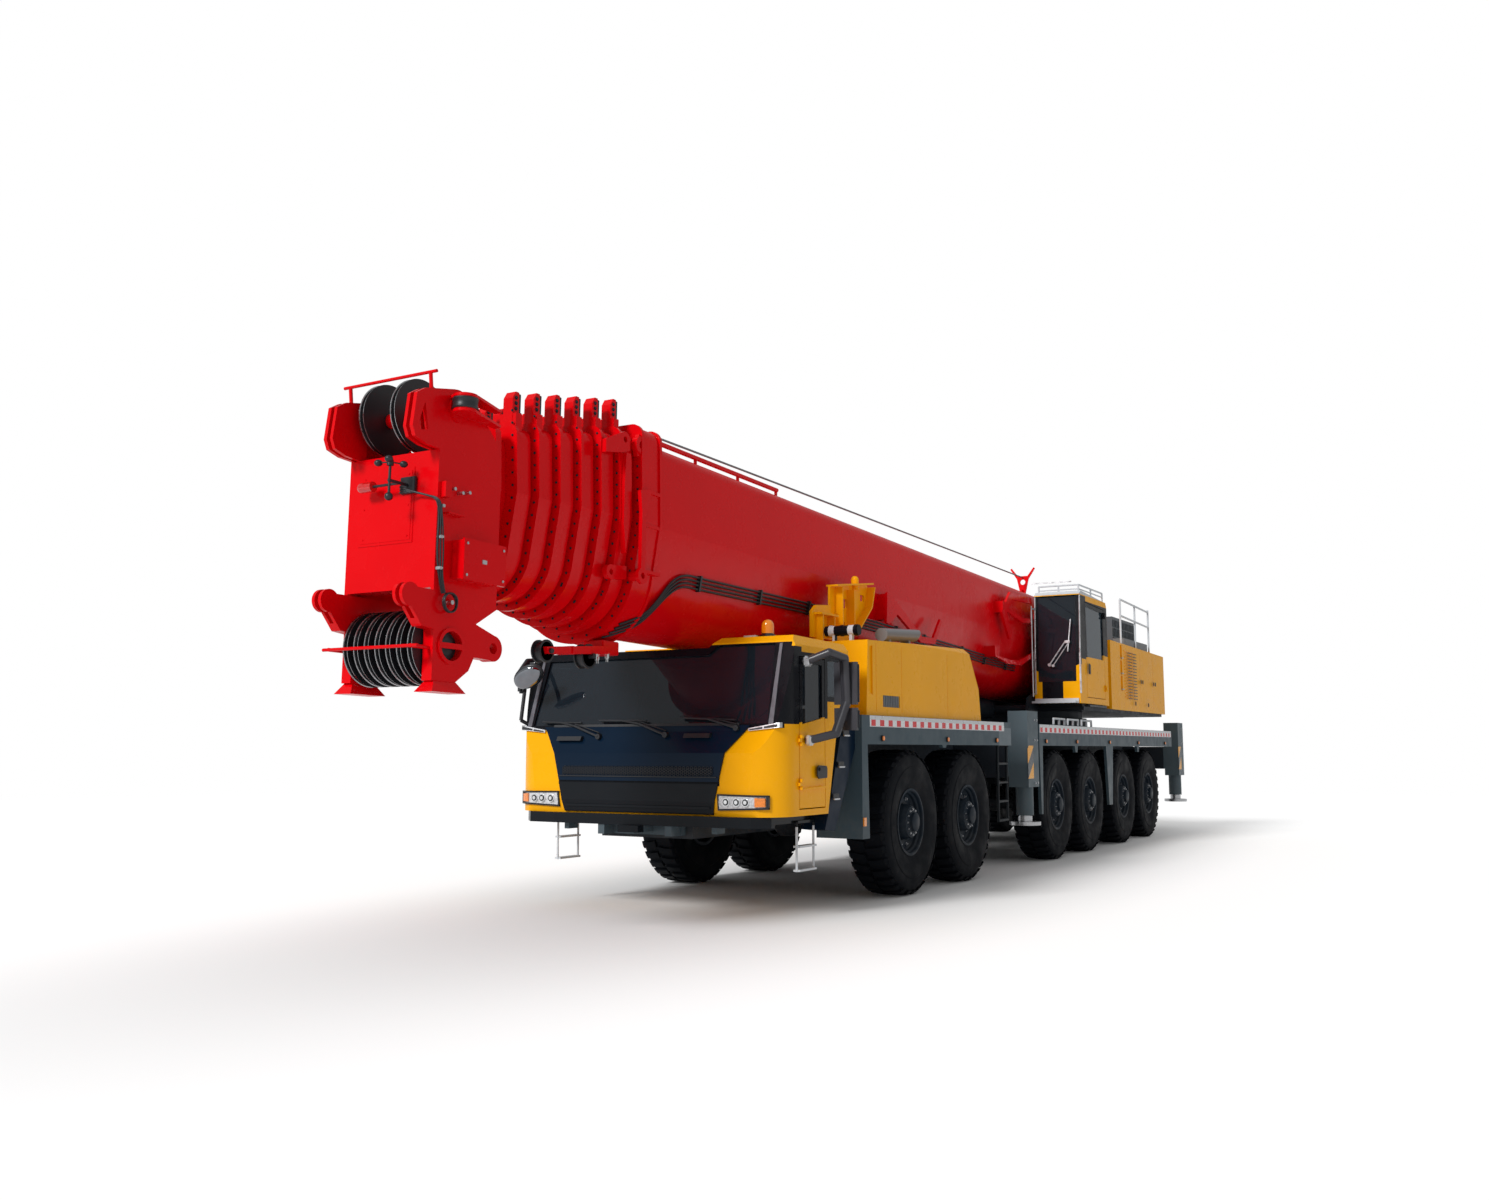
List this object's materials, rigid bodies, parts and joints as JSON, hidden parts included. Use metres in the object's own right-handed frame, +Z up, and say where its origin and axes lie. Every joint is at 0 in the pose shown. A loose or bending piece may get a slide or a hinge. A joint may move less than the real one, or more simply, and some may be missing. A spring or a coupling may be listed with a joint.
{
  "type": "mobile crane",
  "caption": "Road-going mobile crane with a telescopic boom, slewing cab and housing, sliding outriggers and a full-width driving cab.",
  "frame": {"origin": "on the ground under the middle of the overall length, on the centre line", "axes": "+X forward along the carrier and the stowed boom, +Y to the left, +Z up"},
  "size_m": [19.4458, 3.62, 4.3997],
  "materials": {
    "black": "black plastic",
    "chrome": "polished",
    "dark": "satin dark paint",
    "glass": "tinted glass",
    "grey": "satin grey paint",
    "lamp": "clear lens",
    "red": "gloss red paint",
    "trim": "cab trim",
    "tyre": "worn rubber",
    "yellow": "gloss yellow paint"
  },
  "bodies": {
    "chassis": {"chassis_frame": "grey", "carrier_deck": "grey", "driveline": "dark", "cab_shell": "yellow", "cab_glass": "glass", "cab_front_panel": "black", "cab_lamps": "lamp", "cab_interior": "trim", "engine_housing": "yellow", "intake_and_exhaust": "chrome"},
    "cab_door_left": {"cab_door_left": "yellow", "cab_door_glass_left": "glass", "cab_mirror_left": "grey"},
    "cab_door_right": {"cab_door_right": "yellow", "cab_door_glass_right": "glass", "cab_mirror_right": "grey"},
    "wheel_1_left": {"wheel_1_left": "tyre"},
    "knuckle_1_left": {"knuckle_1_left": "dark"},
    "wheel_1_right": {"wheel_1_right": "tyre"},
    "knuckle_1_right": {"knuckle_1_right": "dark"},
    "wheel_2_left": {"wheel_2_left": "tyre"},
    "knuckle_2_left": {"knuckle_2_left": "dark"},
    "wheel_2_right": {"wheel_2_right": "tyre"},
    "knuckle_2_right": {"knuckle_2_right": "dark"},
    "wheel_3_left": {"wheel_3_left": "tyre"},
    "wheel_3_right": {"wheel_3_right": "tyre"},
    "wheel_4_left": {"wheel_4_left": "tyre"},
    "wheel_4_right": {"wheel_4_right": "tyre"},
    "wheel_5_left": {"wheel_5_left": "tyre"},
    "wheel_5_right": {"wheel_5_right": "tyre"},
    "wheel_6_left": {"wheel_6_left": "tyre"},
    "wheel_6_right": {"wheel_6_right": "tyre"},
    "outrigger_beam_front_left": {"outrigger_beam_front_left": "grey"},
    "outrigger_jack_front_left": {"outrigger_jack_front_left": "grey"},
    "outrigger_beam_front_right": {"outrigger_beam_front_right": "grey"},
    "outrigger_jack_front_right": {"outrigger_jack_front_right": "grey"},
    "outrigger_beam_rear_left": {"outrigger_beam_rear_left": "grey"},
    "outrigger_jack_rear_left": {"outrigger_jack_rear_left": "grey"},
    "outrigger_beam_rear_right": {"outrigger_beam_rear_right": "grey"},
    "outrigger_jack_rear_right": {"outrigger_jack_rear_right": "grey"},
    "superstructure": {"turntable": "grey", "machinery_housing": "yellow", "operator_cab_shell": "yellow", "operator_cab_glass": "glass", "operator_interior": "trim", "winch": "dark"},
    "operator_door": {"operator_door": "yellow", "operator_door_glass": "glass"},
    "boom_base": {"boom_base": "red"},
    "boom_section_1": {"boom_section_1": "red"},
    "boom_section_2": {"boom_section_2": "red"},
    "boom_section_3": {"boom_section_3": "red"},
    "boom_section_4": {"boom_section_4": "red"},
    "boom_section_5": {"boom_section_5": "red"},
    "boom_section_6": {"boom_section_6": "red"},
    "boom_head": {"boom_head": "red"},
    "sheaves_top": {"sheaves_top": "black"},
    "sheaves_low": {"sheaves_low": "black"},
    "luffing_barrel": {"luffing_barrel": "dark"},
    "luffing_rod": {"luffing_rod": "chrome"}
  },
  "joints": [
    {"name": "steer_1_left", "type": "hinge", "parent": "chassis", "child": "knuckle_1_left", "pos_m": [3.5, 1, 0.74], "axis": [0, 0, 1], "range_deg": [-32, 32]},
    {"name": "spin_1_left", "type": "hinge", "parent": "knuckle_1_left", "child": "wheel_1_left", "pos_m": [3.5, 1.252, 0.74], "axis": [0, 1, 0], "continuous": true},
    {"name": "steer_1_right", "type": "hinge", "parent": "chassis", "child": "knuckle_1_right", "pos_m": [3.5, -1, 0.74], "axis": [0, 0, 1], "range_deg": [-32, 32]},
    {"name": "spin_1_right", "type": "hinge", "parent": "knuckle_1_right", "child": "wheel_1_right", "pos_m": [3.5, -1.252, 0.74], "axis": [0, 1, 0], "continuous": true},
    {"name": "steer_2_left", "type": "hinge", "parent": "chassis", "child": "knuckle_2_left", "pos_m": [1.85, 1, 0.74], "axis": [0, 0, 1], "range_deg": [-25.06, 25.06]},
    {"name": "spin_2_left", "type": "hinge", "parent": "knuckle_2_left", "child": "wheel_2_left", "pos_m": [1.85, 1.252, 0.74], "axis": [0, 1, 0], "continuous": true},
    {"name": "steer_2_right", "type": "hinge", "parent": "chassis", "child": "knuckle_2_right", "pos_m": [1.85, -1, 0.74], "axis": [0, 0, 1], "range_deg": [-25.06, 25.06]},
    {"name": "spin_2_right", "type": "hinge", "parent": "knuckle_2_right", "child": "wheel_2_right", "pos_m": [1.85, -1.252, 0.74], "axis": [0, 1, 0], "continuous": true},
    {"name": "spin_3_left", "type": "hinge", "parent": "chassis", "child": "wheel_3_left", "pos_m": [-1.55, 1.252, 0.74], "axis": [0, 1, 0], "continuous": true},
    {"name": "spin_3_right", "type": "hinge", "parent": "chassis", "child": "wheel_3_right", "pos_m": [-1.55, -1.252, 0.74], "axis": [0, 1, 0], "continuous": true},
    {"name": "spin_4_left", "type": "hinge", "parent": "chassis", "child": "wheel_4_left", "pos_m": [-3.18, 1.252, 0.74], "axis": [0, 1, 0], "continuous": true},
    {"name": "spin_4_right", "type": "hinge", "parent": "chassis", "child": "wheel_4_right", "pos_m": [-3.18, -1.252, 0.74], "axis": [0, 1, 0], "continuous": true},
    {"name": "spin_5_left", "type": "hinge", "parent": "chassis", "child": "wheel_5_left", "pos_m": [-5.13, 1.252, 0.74], "axis": [0, 1, 0], "continuous": true},
    {"name": "spin_5_right", "type": "hinge", "parent": "chassis", "child": "wheel_5_right", "pos_m": [-5.13, -1.252, 0.74], "axis": [0, 1, 0], "continuous": true},
    {"name": "spin_6_left", "type": "hinge", "parent": "chassis", "child": "wheel_6_left", "pos_m": [-6.78, 1.252, 0.74], "axis": [0, 1, 0], "continuous": true},
    {"name": "spin_6_right", "type": "hinge", "parent": "chassis", "child": "wheel_6_right", "pos_m": [-6.78, -1.252, 0.74], "axis": [0, 1, 0], "continuous": true},
    {"name": "cab_door_left_swing", "type": "hinge", "parent": "chassis", "child": "cab_door_left", "pos_m": [5.95, 1.467, 1.5], "axis": [0, 0, -1], "range_deg": [0, 70]},
    {"name": "cab_door_right_swing", "type": "hinge", "parent": "chassis", "child": "cab_door_right", "pos_m": [5.95, -1.467, 1.5], "axis": [0, 0, 1], "range_deg": [0, 70]},
    {"name": "beam_front_left_slide", "type": "slide", "parent": "chassis", "child": "outrigger_beam_front_left", "axis": [0, 1, 0], "range_m": [0, 2]},
    {"name": "jack_front_left_slide", "type": "slide", "parent": "outrigger_beam_front_left", "child": "outrigger_jack_front_left", "axis": [0, 0, -1], "range_m": [0, 0.6]},
    {"name": "beam_front_right_slide", "type": "slide", "parent": "chassis", "child": "outrigger_beam_front_right", "axis": [0, -1, 0], "range_m": [0, 2]},
    {"name": "jack_front_right_slide", "type": "slide", "parent": "outrigger_beam_front_right", "child": "outrigger_jack_front_right", "axis": [0, 0, -1], "range_m": [0, 0.6]},
    {"name": "beam_rear_left_slide", "type": "slide", "parent": "chassis", "child": "outrigger_beam_rear_left", "axis": [0, 1, 0], "range_m": [0, 2]},
    {"name": "jack_rear_left_slide", "type": "slide", "parent": "outrigger_beam_rear_left", "child": "outrigger_jack_rear_left", "axis": [0, 0, -1], "range_m": [0, 0.6]},
    {"name": "beam_rear_right_slide", "type": "slide", "parent": "chassis", "child": "outrigger_beam_rear_right", "axis": [0, -1, 0], "range_m": [0, 2]},
    {"name": "jack_rear_right_slide", "type": "slide", "parent": "outrigger_beam_rear_right", "child": "outrigger_jack_rear_right", "axis": [0, 0, -1], "range_m": [0, 0.6]},
    {"name": "slew", "type": "hinge", "parent": "chassis", "child": "superstructure", "pos_m": [-4.14, 0, 2], "axis": [0, 0, 1], "continuous": true},
    {"name": "operator_door_swing", "type": "hinge", "parent": "superstructure", "child": "operator_door", "pos_m": [-4.295, 1.447, 3], "axis": [0, 0, 1], "range_deg": [0, 75]},
    {"name": "luff", "type": "hinge", "parent": "superstructure", "child": "boom_base", "pos_m": [-6.2, 0, 2.72], "axis": [0, -1, 0], "range_deg": [0, 82]},
    {"name": "telescope_1", "type": "slide", "parent": "boom_base", "child": "boom_section_1", "axis": [0.9998, 0, 0.0218], "range_m": [0, 8.5]},
    {"name": "telescope_2", "type": "slide", "parent": "boom_section_1", "child": "boom_section_2", "axis": [0.9998, 0, 0.0218], "range_m": [0, 8.5]},
    {"name": "telescope_3", "type": "slide", "parent": "boom_section_2", "child": "boom_section_3", "axis": [0.9998, 0, 0.0218], "range_m": [0, 8.5]},
    {"name": "telescope_4", "type": "slide", "parent": "boom_section_3", "child": "boom_section_4", "axis": [0.9998, 0, 0.0218], "range_m": [0, 8.5]},
    {"name": "telescope_5", "type": "slide", "parent": "boom_section_4", "child": "boom_section_5", "axis": [0.9998, 0, 0.0218], "range_m": [0, 8.5]},
    {"name": "telescope_6", "type": "slide", "parent": "boom_section_5", "child": "boom_section_6", "axis": [0.9998, 0, 0.0218], "range_m": [0, 8.5]},
    {"name": "telescope_7", "type": "slide", "parent": "boom_section_6", "child": "boom_head", "axis": [0.9998, 0, 0.0218], "range_m": [0, 8.5]},
    {"name": "sheaves_top_spin", "type": "hinge", "parent": "boom_head", "child": "sheaves_top", "pos_m": [9.22793, 0, 3.89984], "axis": [0, 1, 0], "continuous": true},
    {"name": "sheaves_low_spin", "type": "hinge", "parent": "boom_head", "child": "sheaves_low", "pos_m": [9.24502, 0, 2.19981], "axis": [0, 1, 0], "continuous": true},
    {"name": "luffing_barrel_swing", "type": "hinge", "parent": "superstructure", "child": "luffing_barrel", "pos_m": [-2.85, 0, 2.08], "axis": [0, -1, 0], "range_deg": [0, 100.73]},
    {"name": "luffing_rod_slide", "type": "slide", "parent": "luffing_barrel", "child": "luffing_rod", "axis": [0.9999, 0, 0.0162], "range_m": [0, 3.9995]}
  ],
  "couplings": [
    {"joint": "steer_1_right", "follows": "steer_1_left", "ratio": 1},
    {"joint": "steer_2_left", "follows": "steer_1_left", "ratio": 0.78},
    {"joint": "steer_2_right", "follows": "steer_1_left", "ratio": 0.78},
    {"joint": "telescope_2", "follows": "telescope_1", "ratio": 1},
    {"joint": "telescope_3", "follows": "telescope_1", "ratio": 1},
    {"joint": "telescope_4", "follows": "telescope_1", "ratio": 1},
    {"joint": "telescope_5", "follows": "telescope_1", "ratio": 1},
    {"joint": "telescope_6", "follows": "telescope_1", "ratio": 1},
    {"joint": "telescope_7", "follows": "telescope_1", "ratio": 1},
    {"joint": "luffing_barrel_swing", "follows": "luff", "ratio": 1.2223},
    {"joint": "luffing_rod_slide", "follows": "luff", "m_per_rad": 2.7925}
  ]
}
